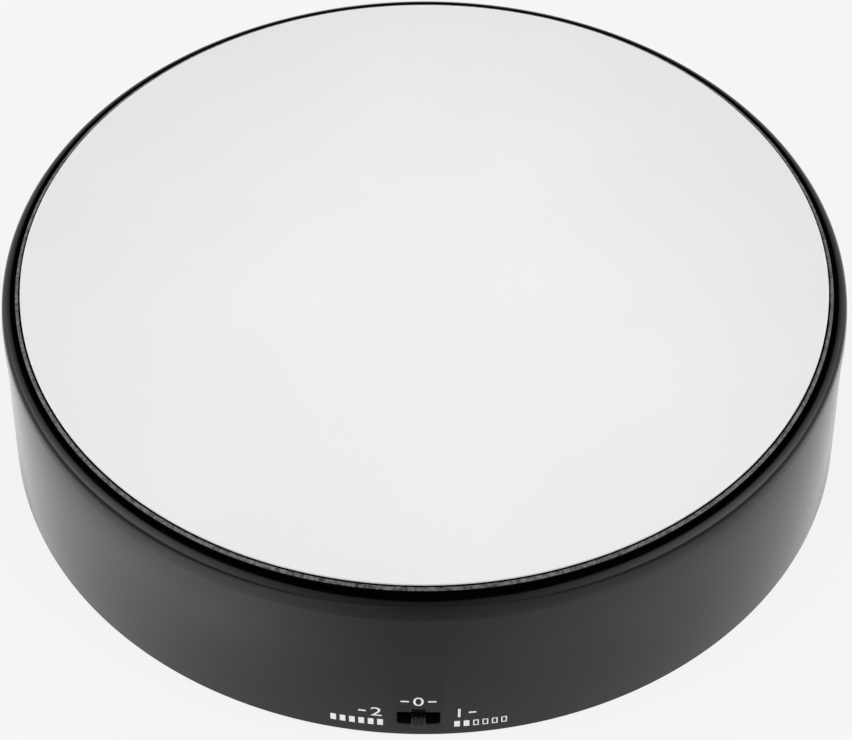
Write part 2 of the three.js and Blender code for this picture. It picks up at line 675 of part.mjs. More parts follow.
function buildBaseShell(group) {
  const edge = 0.25;
  const profile = [
    [WALL_RADIUS - edge, BASE_BOTTOM],
    [WALL_RADIUS, BASE_BOTTOM + edge],
    [WALL_RADIUS, WALL_TOP - edge],
    [WALL_RADIUS - edge, WALL_TOP],
    [LIP_OUTER, WALL_TOP],
    [LIP_OUTER, LIP_TOP],
    [LIP_INNER, LIP_TOP],
    [LIP_INNER, DECK_TOP],
    [0, DECK_TOP],
    [0, DECK_UNDERSIDE],
    [WALL_INSIDE, DECK_UNDERSIDE],
    [WALL_INSIDE, BASE_BOTTOM],
  ];
  const postPlaces = COVER_SCREW_ANGLES.map((angle) => polar(COVER_SCREW_CIRCLE, angle));
  const posts = postPlaces.map((place) => (
    moved(rod(POST_RADIUS, POST_BOTTOM, DECK_UNDERSIDE + 1), place)
  ));
  const postHoles = postPlaces.map((place) => moved(rod(1.4, POST_BOTTOM - 1, 20), place));
  const bosses = pillarPlaces().map((place) => (
    moved(rod(BOSS_RADIUS, DECK_UNDERSIDE + 1, BOSS_TOP), place)
  ));
  const bossHoles = pillarPlaces().map((place) => (
    moved(rod(1.2, DECK_UNDERSIDE - 1, BOSS_TOP - 1.2), place)
  ));

  const cheekMiddle = POCKET_HALF_RADIAL + CHEEK_THICKNESS / 2;
  const cheeks = [];
  const rollerCuts = [];
  for (const angle of CORNER_ANGLES) {
    const turn = THREE.MathUtils.degToRad(angle);
    const along = (geometry) => geometry.translate(ROLLER_CIRCLE, 0, 0).rotateZ(turn);
    for (const side of [-1, 1]) {
      const inner = side * cheekMiddle - CHEEK_THICKNESS / 2;
      const outer = side * cheekMiddle + CHEEK_THICKNESS / 2;
      cheeks.push(along(
        box(inner, outer, -CHEEK_HALF_ACROSS, CHEEK_HALF_ACROSS, DECK_TOP - 1, CHEEK_TOP),
      ));
    }
    rollerCuts.push(along(box(
      -POCKET_HALF_RADIAL,
      POCKET_HALF_RADIAL,
      -POCKET_HALF_ACROSS,
      POCKET_HALF_ACROSS,
      DECK_UNDERSIDE - 1,
      CHEEK_TOP + 1,
    )));
    rollerCuts.push(along(
      rodAlongX(AXLE_RADIUS + 0.05, cheekMiddle + CHEEK_THICKNESS).translate(0, 0, ROLLER_HEIGHT),
    ));
  }

  const railInner = 9.8;
  const railOuter = 11.4;
  const rails = [-1, 1].map((side) => {
    const [left, right] = side < 0 ? [-railOuter, -railInner] : [railInner, railOuter];
    return box(left, right, -WALL_INSIDE - 0.4, -88.5, COVER_TOP + 0.4, SLOT_HEIGHT + 6);
  });

  const slotShape = roundedRectangle(
    -SLOT_HALF_WIDTH,
    SLOT_HALF_WIDTH,
    -SLOT_HALF_HEIGHT,
    SLOT_HALF_HEIGHT,
    SLOT_CORNER,
  );
  const slot = extrude(slotShape, 0, 8)
    .rotateX(HALF_TURN / 2)
    .translate(0, -94, SLOT_HEIGHT);

  const body = join(lathe(profile, LARGE), ...posts, ...bosses, ...cheeks, ...rails);
  const shell = cut(body, [
    ...postHoles,
    ...bossHoles,
    ...rollerCuts,
    slot,
    rod(5.05, DECK_UNDERSIDE - 1, DECK_TOP + 1, MIDDLE),
  ]);
  node(group, "base_shell", shell, materials.shellBlack);
}

// ---------------------------------------------------------------- rollers

function buildRollers(group) {
  const crown = 0.15;
  const wheelProfile = [
    [AXLE_BORE, -ROLLER_HALF_WIDTH],
    [ROLLER_RADIUS - 0.6, -ROLLER_HALF_WIDTH],
    [ROLLER_RADIUS - crown, -ROLLER_HALF_WIDTH + 0.7],
    [ROLLER_RADIUS, 0],
    [ROLLER_RADIUS - crown, ROLLER_HALF_WIDTH - 0.7],
    [ROLLER_RADIUS - 0.6, ROLLER_HALF_WIDTH],
    [AXLE_BORE, ROLLER_HALF_WIDTH],
  ];
  const axleHalf = POCKET_HALF_RADIAL + CHEEK_THICKNESS + 0.2;
  CORNER_ANGLES.forEach((angle, index) => {
    const corner = new THREE.Group();
    const place = polar(ROLLER_CIRCLE, angle);
    corner.position.set(place.x, place.y, ROLLER_HEIGHT);
    corner.rotation.z = THREE.MathUtils.degToRad(angle);
    group.add(corner);
    const wheelGeometry = lathe(wheelProfile, 16).rotateY(HALF_TURN / 2);
    node(corner, `roller_${index + 1}`, wheelGeometry, materials.gearWhite);
    node(corner, `roller_axle_${index + 1}`, rodAlongX(AXLE_RADIUS, axleHalf), materials.steel);
  });
}

// ---------------------------------------------------------------- bottom cover and feet

function buildBottomCover(group) {
  const screwPlaces = COVER_SCREW_ANGLES.map((angle) => polar(COVER_SCREW_CIRCLE, angle));
  const footPlaces = CORNER_ANGLES.map((angle) => polar(FOOT_CIRCLE, angle));
  const roof = BATTERY_CEILING + BATTERY_WALL;
  const outerX = BATTERY_HALF_X + BATTERY_WALL;
  const plate = join(
    rod(COVER_RADIUS, BASE_BOTTOM, COVER_TOP, LARGE),
    box(
      -outerX,
      outerX,
      BATTERY_FRONT - BATTERY_WALL,
      BATTERY_BACK + BATTERY_WALL,
      BASE_BOTTOM,
      roof,
    ),
    ...screwPlaces.map((place) => (
      moved(rod(COVER_BOSS_RADIUS, BASE_BOTTOM + 1, COVER_BOSS_TOP), place)
    )),
  );
  const compartment = box(
    -BATTERY_HALF_X,
    BATTERY_HALF_X,
    BATTERY_FRONT,
    BATTERY_BACK,
    BASE_BOTTOM - 1,
    BATTERY_CEILING,
  );
  const hingeHoles = rodAlongX(0.8, BATTERY_HALF_X + 1.2, 12)
    .translate(0, DOOR_HINGE_Y, DOOR_HINGE_Z);
  const cover = cut(plate, [
    compartment,
    hingeHoles,
    ...screwPlaces.map((place) => (
      moved(rod(COVER_SCREW_HEAD + 0.6, BASE_BOTTOM - 1, COVER_SCREW_SEAT), place)
    )),
    ...screwPlaces.map((place) => moved(rod(1.6, BASE_BOTTOM - 1, COVER_BOSS_TOP + 1), place)),
    ...footPlaces.map((place) => (
      moved(rod(FOOT_RADIUS + 0.2, BASE_BOTTOM - 1, BASE_BOTTOM + FOOT_SINK, MIDDLE), place)
    )),
  ]);
  node(group, "bottom_cover", cover, materials.shellBlack);

  const foot = lathe(
    [
      [0, 0],
      [FOOT_RADIUS - 0.8, 0],
      [FOOT_RADIUS, 0.8],
      [FOOT_RADIUS, BASE_BOTTOM + FOOT_SINK],
      [0, BASE_BOTTOM + FOOT_SINK],
    ],
    MIDDLE,
  );
  footPlaces.forEach((place, index) => {
    node(group, `foot_${index + 1}`, moved(foot, place), materials.rubber);
  });

  const screw = crossScrew(COVER_SCREW_HEAD, 1.7, 1.3, 14);
  screwPlaces.forEach((place, index) => {
    node(group, `cover_screw_${index + 1}`, moved(screw, place, COVER_SCREW_SEAT), materials.steel);
  });
}

function buildBatteryDoor(group) {
  const halfX = BATTERY_HALF_X - DOOR_CLEARANCE;
  const back = BATTERY_BACK - DOOR_CLEARANCE - 0.1;
  const top = BASE_BOTTOM + DOOR_THICKNESS;
  const barrel = DOOR_THICKNESS / 2;
  const latch = { half: 7, front: back - 1.8, back: back - 0.7, top: 6.6 };
  const grip = { half: 9, front: back - 5, back: back - 2.6, depth: 0.8 };
  const ribs = [-1, 0, 1].map((slot) => {
    const x = slot * 16;
    return box(x - 0.5, x + 0.5, DOOR_HINGE_Y + 4, back - 6, top - 0.4, top + 0.35);
  });
  const door = join(
    box(-halfX, halfX, DOOR_HINGE_Y, back, BASE_BOTTOM, top),
    rodAlongX(barrel, halfX, 12).translate(0, DOOR_HINGE_Y, DOOR_HINGE_Z),
    rodAlongX(0.7, BATTERY_HALF_X + 1, 12).translate(0, DOOR_HINGE_Y, DOOR_HINGE_Z),
    box(-latch.half, latch.half, latch.front, latch.back, top - 0.5, latch.top),
    ...ribs,
  );
  const geometry = cut(door, [
    box(-grip.half, grip.half, grip.front, grip.back, BASE_BOTTOM - 1, BASE_BOTTOM + grip.depth),
  ]);
  node(group, "battery_door", geometry, materials.shellBlack);
}

// ---------------------------------------------------------------- cells and their contacts

function cellY(index) {
  return (BATTERY_FRONT + BATTERY_BACK) / 2 + (index - (CELL_COUNT - 1) / 2) * CELL_PITCH;
}

function buildCells(group) {
  const buttonRadius = 2.7;
  const buttonHeight = 1.2;
  const half = CELL_LENGTH / 2;
  const chamfer = 0.5;
  const cell = lathe(
    [
      [0, -half],
      [CELL_RADIUS - chamfer, -half],
      [CELL_RADIUS, -half + chamfer],
      [CELL_RADIUS, half - buttonHeight - chamfer],
      [CELL_RADIUS - chamfer, half - buttonHeight],
      [buttonRadius, half - buttonHeight],
      [buttonRadius, half],
      [0, half],
    ],
    MIDDLE,
  );
  for (let index = 0; index < CELL_COUNT; index += 1) {
    const mesh = node(group, `cell_${index + 1}`, cell.clone(), materials.cellJacket);
    const direction = index % 2 === 0 ? 1 : -1;
    mesh.position.set(0, cellY(index), CELL_HEIGHT);
    mesh.rotation.y = (direction * HALF_TURN) / 2;
  }
}

// A sheet-metal contact against one end of the compartment. Each cell that it serves presses on a
// coil, given here by its outer cone, or on a dimple.
function contactGeometry(side, cells) {
  const outer = side * (BATTERY_HALF_X - 0.1);
  const inner = outer - side * 0.4;
  const reach = BATTERY_HALF_X - CELL_LENGTH / 2 - 0.6;
  const first = cellY(cells[0].index) - 5.6;
  const last = cellY(cells.at(-1).index) + 5.6;
  const plate = box(
    Math.min(inner, outer),
    Math.max(inner, outer),
    first,
    last,
    CELL_HEIGHT - 5,
    CELL_HEIGHT + 5,
  );
  const bumps = cells.map(({ index, coil }) => {
    const height = coil ? reach : reach - 0.8;
    const cone = lathe([[0, 0], [4.2, 0], [coil ? 2.6 : 2.0, height - 0.2], [0, height - 0.2]], SMALL);
    const root = outer - side * 0.2;
    return cone.rotateY((-side * HALF_TURN) / 2).translate(root, cellY(index), CELL_HEIGHT);
  });
  return cut(join(plate, ...bumps));
}

function buildContacts(group) {
  const plus = contactGeometry(1, [{ index: 0, coil: false }]);
  const bridgeRight = contactGeometry(1, [{ index: 1, coil: true }, { index: 2, coil: false }]);
  const bridgeLeft = contactGeometry(-1, [{ index: 0, coil: true }, { index: 1, coil: false }]);
  const minus = contactGeometry(-1, [{ index: 2, coil: true }]);
  node(group, "contact_positive", plus, materials.steel);
  node(group, "contact_bridge_right", bridgeRight, materials.steel);
  node(group, "contact_bridge_left", bridgeLeft, materials.steel);
  node(group, "contact_negative", minus, materials.steel);
}

// ---------------------------------------------------------------- slide switch

function buildSwitch(group) {
  const body = { half: 9.5, front: -96.4, back: -90.6, halfHeight: 2.85 };
  const track = { half: 7.8, back: -93.2, halfHeight: 1.9 };
  const housing = cut(
    solid(box(
      -body.half,
      body.half,
      body.front,
      body.back,
      SLOT_HEIGHT - body.halfHeight,
      SLOT_HEIGHT + body.halfHeight,
    )),
    [box(
      -track.half,
      track.half,
      body.front - 1,
      track.back,
      SLOT_HEIGHT - track.halfHeight,
      SLOT_HEIGHT + track.halfHeight,
    )],
  );
  node(group, "switch_body", housing, materials.switchBlack);

  const lugs = [-5, 0, 5].map((x) => (
    box(x - 0.6, x + 0.6, -90.2, -87.6, SLOT_HEIGHT - 0.3, SLOT_HEIGHT + 0.3)
  ));
  const frame = join(
    box(-8.5, 8.5, -90.5, -90.1, SLOT_HEIGHT - 2.6, SLOT_HEIGHT + 2.6),
    ...lugs,
  );
  node(group, "switch_frame", cut(frame), materials.steel);

  const carriage = { half: 4.8, front: -96.1, back: -93.4, halfHeight: 1.75 };
  const knob = join(
    box(
      -carriage.half,
      carriage.half,
      carriage.front,
      carriage.back,
      SLOT_HEIGHT - carriage.halfHeight,
      SLOT_HEIGHT + carriage.halfHeight,
    ),
    box(
      -KNOB_HALF_WIDTH,
      KNOB_HALF_WIDTH,
      KNOB_TIP_Y,
      carriage.front + 0.5,
      SLOT_HEIGHT - KNOB_HALF_HEIGHT,
      SLOT_HEIGHT + KNOB_HALF_HEIGHT,
    ),
  );
  const grooveDepth = 0.7;
  const ridge = (2 * KNOB_HALF_WIDTH - 2 * KNOB_GROOVE) / 3;
  const grooves = [-1, 1].map((side) => {
    const x = (side * (ridge + KNOB_GROOVE)) / 2;
    return box(
      x - KNOB_GROOVE / 2,
      x + KNOB_GROOVE / 2,
      KNOB_TIP_Y - 1,
      KNOB_TIP_Y + grooveDepth,
      SLOT_HEIGHT - 3,
      SLOT_HEIGHT + 3,
    );
  });
  node(group, "switch_knob", cut(knob, grooves), materials.switchBlack);

  const resistor = lathe([
    [0, -6],
    [0.4, -6],
    [0.4, -3.2],
    [1.2, -2.8],
    [1.2, 2.8],
    [0.4, 3.2],
    [0.4, 6],
    [0, 6],
  ], 12).rotateY(HALF_TURN / 2).translate(0, -88.6, SLOT_HEIGHT + 1.9);
  node(group, "speed_resistor", resistor, materials.resistorBody);
}

// ---------------------------------------------------------------- wires

function wire(points, steps) {
  const curve = new THREE.CatmullRomCurve3(points.map((point) => new THREE.Vector3(...point)));
  const section = new THREE.Shape();
  for (let k = 0; k < WIRE_SIDES; k += 1) {
    const angle = (FULL_TURN * k) / WIRE_SIDES;
    const point = [WIRE_RADIUS * Math.cos(angle), WIRE_RADIUS * Math.sin(angle)];
    if (k === 0) section.moveTo(...point);
    else section.lineTo(...point);
  }
  return new THREE.ExtrudeGeometry(section, { steps, extrudePath: curve, bevelEnabled: false });
}

function buildWires(group) {
  const motor = MOTOR_AXIS;
  const terminalHeight = CAN_BOTTOM - 0.9;
  const red = [
    [31.2, 39, 12],
    [36, 38, 11],
    [52, 30, 6],
    [62, 0, 5],
    [48, -40, 5],
    [22, -66, 5.5],
    [12, -81, 5.6],
    [6, -86.4, SLOT_HEIGHT],
  ];
  const black = [
    [-31.2, 69, 12],
    [-36, 66, 10],
    [-46, 48, 6],
    [-44, 18, 5],
    [-22, 0, 5],
    [2, -10, 4.4],
    [motor.x - 10.5, motor.y, terminalHeight],
  ];
  const yellow = [
    [0, -86.6, SLOT_HEIGHT],
    [2, -74, 5.5],
    [10, -56, 5],
    [26, -44, 5],
    [38, -30, 4.6],
    [38, motor.y - 2, 4.2],
    [motor.x + 10.5, motor.y, terminalHeight],
  ];
  node(group, "wire_red", wire(red, 24), materials.wireRed);
  node(group, "wire_black", wire(black, 22), materials.wireBlack);
  node(group, "wire_yellow", wire(yellow, 18), materials.wireYellow);
}

// ---------------------------------------------------------------- assembly

const turntable = new THREE.Group();
turntable.name = "turntable_display_stand";
buildPlatter(turntable);
buildTrain(turntable);
buildMotorBody(turntable);
buildGearbox(turntable);
buildBaseShell(turntable);
buildRollers(turntable);
buildBottomCover(turntable);
buildBatteryDoor(turntable);
buildCells(turntable);
buildContacts(turntable);
buildSwitch(turntable);
buildWires(turntable);

export default turntable;
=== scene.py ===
"""Battery turntable display stand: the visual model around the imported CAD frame.

Blender objects are in metres. Profiles and places below are in millimetres in the CAD frame,
with +Z up, the origin on the resting plane and the slide switch at -Y, and MM turns them
into metres.
"""
import json
import math

import bmesh
import bpy
from mathutils import Euler, Matrix, Vector


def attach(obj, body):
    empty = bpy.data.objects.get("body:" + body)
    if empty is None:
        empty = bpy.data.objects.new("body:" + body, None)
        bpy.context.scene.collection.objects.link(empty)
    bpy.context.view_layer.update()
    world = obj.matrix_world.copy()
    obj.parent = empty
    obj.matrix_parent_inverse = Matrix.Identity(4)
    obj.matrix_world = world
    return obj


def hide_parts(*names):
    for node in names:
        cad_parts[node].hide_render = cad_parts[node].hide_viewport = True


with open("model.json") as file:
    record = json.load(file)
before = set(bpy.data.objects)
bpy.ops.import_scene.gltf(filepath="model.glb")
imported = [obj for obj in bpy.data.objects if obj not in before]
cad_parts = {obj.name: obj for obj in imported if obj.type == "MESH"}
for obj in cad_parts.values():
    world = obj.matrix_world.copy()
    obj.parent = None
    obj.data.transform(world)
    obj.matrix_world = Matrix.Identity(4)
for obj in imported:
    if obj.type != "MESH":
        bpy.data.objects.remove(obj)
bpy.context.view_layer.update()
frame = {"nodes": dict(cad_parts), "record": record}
nodes = frame["nodes"]
scene = bpy.context.scene

# ---------------------------------------------------------------- dimensions in millimetres

MM = 0.001

# Platter, its ridge and groove, and the top sheet.
PLATTER_RADIUS = 100.0
SHOULDER_RADIUS = 99.5
SKIRT_INSIDE = 97.6
SKIRT_BOTTOM = 42.6
RIM_TOP = 48.2
RIM_ROUND = 3.0
RIDGE_OUTER = 96.3
RIDGE_INNER = 95.6
RIDGE_FOOT = 48.5
RIDGE_TOP = 48.85
GROOVE_FLOOR = 48.3
SHEET_RADIUS = 95.15
SEAT_TOP = 48.8
SHEET_TOP = 49.4
PLATTER_UNDERSIDE = 45.7
HUB_RADIUS = 8.0
HUB_BOTTOM = 41.0
SHAFT_BORE = 3.06
SHAFT_BORE_TOP = 46.3
HUB_SCREW_HOLE = 1.6
HUB_SCREW_RECESS = 3.5
HUB_SCREW_SEAT = 47.2
STIFFENER_INNER = 50.0
STIFFENER_OUTER = 51.5
STIFFENER_BOTTOM = 44.3

# Base wall, deck and lip.
WALL_RADIUS = 99.6
WALL_INSIDE = 97.2
BASE_BOTTOM = 1.3
WALL_TOP = 42.2
DECK_TOP = 39.6
DECK_UNDERSIDE = 37.2
DECK_HOLE = 5.1
LIP_OUTER = 96.4
LIP_INNER = 94.6
LIP_TOP = 43.2

# Rollers, screw posts, gearbox bosses and feet.
CORNER_ANGLES = (45, 135, 225, 315)
ROLLER_CIRCLE = 78.0
AXLE_HEIGHT = 41.2
CHEEK_INNER = 3.5
CHEEK_OUTER = 5.1
CHEEK_TOP = 43.3
COVER_SCREW_ANGLES = (20, 160, 250, 290)
COVER_SCREW_CIRCLE = 84.0
POST_BOTTOM = 5.1
BOSS_X = (-36, 34)
BOSS_Y = (-40, 20)
BOSS_TOP = 43.0
FOOT_CIRCLE = 82.0

# Switch slot, thumb piece and the rails that hold the switch.
SLOT_HEIGHT = 7.4
SLOT_WIDTH = 9.7
SLOT_TALL = 4.1
KNOB_FRONT = -101.0
KNOB_HALF_WIDTH = 1.65
KNOB_HALF_HEIGHT = 1.7
RAIL_INNER = 9.8
RAIL_OUTER = 11.4

# Battery bay.
BATTERY_HALF_X = 28.6
CELL_Y = (38.7, 54.1, 69.5)
CELL_Z = 10.9
CELL_END = 25.0

# Camera: a lens in millimetres, and in metres and degrees where it stands round its target.
CAMERA_DISTANCE = 0.9
CAMERA_ELEVATION = 47.0
CAMERA_AZIMUTH = 0.85
CAMERA_ROLL = -0.11
CAMERA_LENS = 156.9
CAMERA_TARGET = Vector((0.00036, 0.0, 0.01585))

# Brightness of the studio walls, what the two side screens add to it, and the floor's own.
WALL_LIGHT = 0.75
SCREEN_AS_LIGHT = 1.6
SCREEN_AS_REFLECTION = 5.0
FLOOR_GLOW = 0.87

# Segments round a large and a small turned piece.
FINE = 256
ROUND = 64


# ---------------------------------------------------------------- camera, light and floor

def make_camera():
    data = bpy.data.cameras.new("camera")
    data.sensor_width = 36.0
    data.lens = CAMERA_LENS
    data.clip_start = 0.01
    data.clip_end = 20.0
    camera = bpy.data.objects.new("camera", data)
    elevation = math.radians(CAMERA_ELEVATION)
    azimuth = math.radians(CAMERA_AZIMUTH)
    back = Vector((
        math.sin(azimuth) * math.cos(elevation),
        -math.cos(azimuth) * math.cos(elevation),
        math.sin(elevation),
    ))
    camera.location = CAMERA_TARGET + back * CAMERA_DISTANCE
    look = (-back).to_track_quat("-Z", "Y").to_matrix()
    roll = Matrix.Rotation(math.radians(CAMERA_ROLL), 3, "Z")
    camera.rotation_euler = (look @ roll).to_euler()
    scene.collection.objects.link(camera)
    scene.camera = camera


def area_light(name, place, size, watts):
    """A round soft light aimed at the origin, which is seen by matt surfaces only."""
    data = bpy.data.lights.new(name, "AREA")
    data.shape = "DISK"
    data.size = size
    data.energy = watts
    light = bpy.data.objects.new(name, data)
    light.location = place
    light.rotation_euler = (-Vector(place)).to_track_quat("-Z", "Y").to_euler()
    light.visible_glossy = False
    light.visible_camera = False
    scene.collection.objects.link(light)


def maths(tree, operation, *values):
    """A Math node. Each value is a number or the output of another node."""
    node = tree.nodes.new("ShaderNodeMath")
    node.operation = operation
    for socket, value in zip(node.inputs, values):
        if isinstance(value, (int, float)):
            socket.default_value = value
        else:
            link(tree, value, socket)
    return node.outputs[0]


def make_world():
    """A dark ceiling over studio walls, with a tall white screen at each side of the front.
    The top of the rounded rim mirrors the ceiling, and its flanks mirror the screens. The
    screens count for less as plain light than as a reflection."""
    world = bpy.data.worlds.new("studio")
    scene.world = world
    world.use_nodes = True
    tree = world.node_tree
    tree.nodes.clear()
    coordinates = tree.nodes.new("ShaderNodeTexCoord")
    split = tree.nodes.new("ShaderNodeSeparateXYZ")
    link(tree, coordinates.outputs["Generated"], split.inputs[0])
    x, y, z = split.outputs
    behind = maths(tree, "MULTIPLY_ADD", y, 0.35, z)
    height = maths(tree, "MULTIPLY_ADD", maths(tree, "ABSOLUTE", x), -0.5, behind)
    ramp = tree.nodes.new("ShaderNodeValToRGB")
    link(tree, height, ramp.inputs["Fac"])
    stops = ((0.0, 1.0), (0.43, 0.95), (0.59, 0.01), (1.0, 0.0))
    ramp.color_ramp.elements[0].color = (*grey(stops[0][1]), 1)
    ramp.color_ramp.elements[1].color = (*grey(stops[-1][1]), 1)
    for position, value in stops[1:-1]:
        ramp.color_ramp.elements.new(position).color = (*grey(value), 1)
    sideways = maths(tree, "MULTIPLY", x, x)
    screen = maths(tree, "MULTIPLY", sideways, remap(tree, y, 1, 0.15, -0.2, 0.7))
    glossy = tree.nodes.new("ShaderNodeLightPath").outputs["Is Glossy Ray"]
    weight = remap(tree, glossy, SCREEN_AS_LIGHT, SCREEN_AS_REFLECTION, 0, 1)
    strength = maths(tree, "MULTIPLY_ADD", screen, weight, WALL_LIGHT)
    background = tree.nodes.new("ShaderNodeBackground")
    link(tree, ramp.outputs["Color"], background.inputs["Color"])
    link(tree, strength, background.inputs["Strength"])
    output = tree.nodes.new("ShaderNodeOutputWorld")
    link(tree, background.outputs[0], output.inputs["Surface"])


def make_floor():
    """Pale paper that glows evenly, so that the stand throws no shadow. What the wall mirrors
    of it brightens away from the stand and to both sides, and more to the left."""
    size = 6.0
    mesh = bpy.data.meshes.new("floor")
    corners = [(-size, -size, 0), (size, -size, 0), (size, size, 0), (-size, size, 0)]
    mesh.from_pydata(corners, [], [(0, 1, 2, 3)])
    floor = bpy.data.objects.new("floor", mesh)
    scene.collection.objects.link(floor)
    material = bpy.data.materials.new("floor_paper")
    material.use_nodes = True
    tree = material.node_tree
    shader = tree.nodes["Principled BSDF"]
    shader.inputs["Base Color"].default_value = (0.06, 0.06, 0.06, 1)
    shader.inputs["Roughness"].default_value = 1.0
    shader.inputs["Specular IOR Level"].default_value = 0.0
    shader.inputs["Emission Color"].default_value = (1, 1, 1, 1)
    coordinates = tree.nodes.new("ShaderNodeTexCoord").outputs["Object"]
    split = tree.nodes.new("ShaderNodeSeparateXYZ")
    link(tree, coordinates, split.inputs[0])
    radius = tree.nodes.new("ShaderNodeVectorMath")
    radius.operation = "LENGTH"
    link(tree, coordinates, radius.inputs[0])
    across = maths(tree, "ABSOLUTE", split.outputs["X"])
    rises = (
        remap(tree, split.outputs["X"], 1.25, 0.6, -0.06, 0.06),
        remap(tree, radius.outputs["Value"], 0, 1, 0.1, 0.125),
        remap(tree, across, 0, 1, 0.01, 0.07),
        remap(tree, across, 1, 0, 0.1, 0.14),
    )
    extra = tree.nodes.new("ShaderNodeLightPath").outputs["Is Glossy Ray"]
    for rise in rises:
        extra = maths(tree, "MULTIPLY", extra, rise)
    glow = maths(tree, "MULTIPLY_ADD", extra, FLOOR_GLOW, FLOOR_GLOW)
    link(tree, glow, shader.inputs["Emission Strength"])
    mesh.materials.append(material)


def make_studio():
    scene.view_settings.view_transform = "Standard"
    make_camera()
    make_world()
    make_floor()
    area_light("top_light", (0.0, 0.0, 0.32), 0.25, 0.42)


# ---------------------------------------------------------------- materials

def link(tree, source, target):
    tree.links.new(source, target)


def noise(tree, coordinates, scale, detail=3.0, stretch=(1, 1, 1)):
    mapping = tree.nodes.new("ShaderNodeMapping")
    mapping.inputs["Scale"].default_value = stretch
    texture = tree.nodes.new("ShaderNodeTexNoise")
    texture.inputs["Scale"].default_value = scale
    texture.inputs["Detail"].default_value = detail
    link(tree, coordinates.outputs["Object"], mapping.inputs["Vector"])
    link(tree, mapping.outputs["Vector"], texture.inputs["Vector"])
    return texture.outputs["Fac"]


def remap(tree, value, low, high, from_low=0.3, from_high=0.7):
    node = tree.nodes.new("ShaderNodeMapRange")
    node.inputs["From Min"].default_value = from_low
    node.inputs["From Max"].default_value = from_high
    node.inputs["To Min"].default_value = low
    node.inputs["To Max"].default_value = high
    link(tree, value, node.inputs["Value"])
    return node.outputs["Result"]


def blend_colours(tree, factor, first, second):
    mix = tree.nodes.new("ShaderNodeMix")
    mix.data_type = "RGBA"
    mix.inputs[6].default_value = (*first, 1)
    mix.inputs[7].default_value = (*second, 1)
    link(tree, factor, mix.inputs[0])
    return mix.outputs[2]


def bump(tree, height, distance, below=None):
    node = tree.nodes.new("ShaderNodeBump")
    node.inputs["Strength"].default_value = 1.0
    node.inputs["Distance"].default_value = distance
    link(tree, height, node.inputs["Height"])
    if below is not None:
        link(tree, below, node.inputs["Normal"])
    return node.outputs["Normal"]


def surface(name, dark, light, rough, grain, relief, metal=0.0, patch=60.0, stretch=(1, 1, 1),
            gloss=0.5):
    """A moulded, turned or coated surface. dark and light are the ends of its slow change of
    colour, rough the ends of its roughness, grain the scale of its fine texture, relief that
    texture's depth in metres and gloss the strength of its reflection."""
    material = bpy.data.materials.new(name)
    material.use_nodes = True
    tree = material.node_tree
    shader = tree.nodes["Principled BSDF"]
    coordinates = tree.nodes.new("ShaderNodeTexCoord")
    slow = noise(tree, coordinates, patch, 2.0, stretch)
    fine = noise(tree, coordinates, grain, 4.0, stretch)
    colour = blend_colours(tree, remap(tree, slow, 0, 1), dark, light)
    link(tree, colour, shader.inputs["Base Color"])
    middle = noise(tree, coordinates, grain * 0.15, 3.0, stretch)
    link(tree, remap(tree, middle, rough[0], rough[1]), shader.inputs["Roughness"])
    link(tree, bump(tree, fine, relief), shader.inputs["Normal"])
    shader.inputs["Metallic"].default_value = metal
    shader.inputs["Specular IOR Level"].default_value = gloss
    return material


def grey(value, tint=0.0):
    return (value, value, value + tint)


def make_materials():
    return {
        "platter_black": surface(
            "platter_black", grey(0.0004), grey(0.0008), (0.1, 0.16), 2600, 0.000001,
            gloss=0.165),
        "shell_black": surface(
            "shell_black", grey(0.006), grey(0.008, 0.0002), (0.14, 0.19), 3800, 0.0000012,
            gloss=0.21),
        # The ridge round the sheet: a dark matt ring, and its lighter speckled grey is a painted
        # highlight line.
        "ridge_grey_and_painted_highlight": surface(
            "ridge_grey_and_painted_highlight", grey(0.004), grey(0.17), (0.4, 0.6), 6000, 0.00002, patch=1100),
        "sheet_white": surface(
            "sheet_white", grey(0.8), grey(0.83), (0.42, 0.5), 2400, 0.0000015, patch=14),
        "ink_white": surface(
            "ink_white", grey(0.72), grey(0.86), (0.45, 0.6), 5000, 0.000003, patch=900),
        "foot_rubber": surface(
            "foot_rubber", grey(0.018), grey(0.03), (0.75, 0.92), 3000, 0.00001),
        "gear_white": surface(
            "gear_white", (0.68, 0.66, 0.58), (0.78, 0.76, 0.69), (0.38, 0.5), 2500, 0.000004),
        "frame_grey": surface(
            "frame_grey", grey(0.05, 0.004), grey(0.065, 0.005), (0.42, 0.55), 3000, 0.000005),
        "switch_black": surface(
            "switch_black", grey(0.003), grey(0.005), (0.25, 0.35), 4500, 0.000003,
            gloss=0.2),
        "steel": surface(
            "steel", grey(0.5, 0.01), grey(0.64, 0.02), (0.22, 0.38), 5000, 0.000002, 1.0),
        "brass": surface(
            "brass", (0.62, 0.42, 0.17), (0.74, 0.53, 0.25), (0.22, 0.36), 5000, 0.000002, 1.0),
        "copper_winding": surface(
            "copper_winding", (0.4, 0.14, 0.06), (0.56, 0.24, 0.11), (0.3, 0.45), 6000,
            0.00002, 1.0, stretch=(1, 1, 0.2)),
        "magnet_grey": surface(
            "magnet_grey", grey(0.06), grey(0.09), (0.55, 0.7), 3500, 0.000008, 0.3),
        "cell_jacket": surface(
            "cell_jacket", (0.02, 0.13, 0.07), (0.03, 0.18, 0.1), (0.22, 0.32), 1500, 0.000002),
        "wire_red": surface(
            "wire_red", (0.42, 0.015, 0.01), (0.55, 0.03, 0.02), (0.35, 0.5), 2500, 0.000004),
        "wire_black": surface(
            "wire_black", grey(0.012), grey(0.02), (0.35, 0.5), 2500, 0.000004),
        "wire_yellow": surface(
            "wire_yellow", (0.6, 0.35, 0.015), (0.72, 0.45, 0.03), (0.35, 0.5), 2500, 0.000004),
        "resistor_body": surface(
            "resistor_body", (0.48, 0.36, 0.2), (0.58, 0.46, 0.28), (0.4, 0.55), 3000, 0.000004),
    }


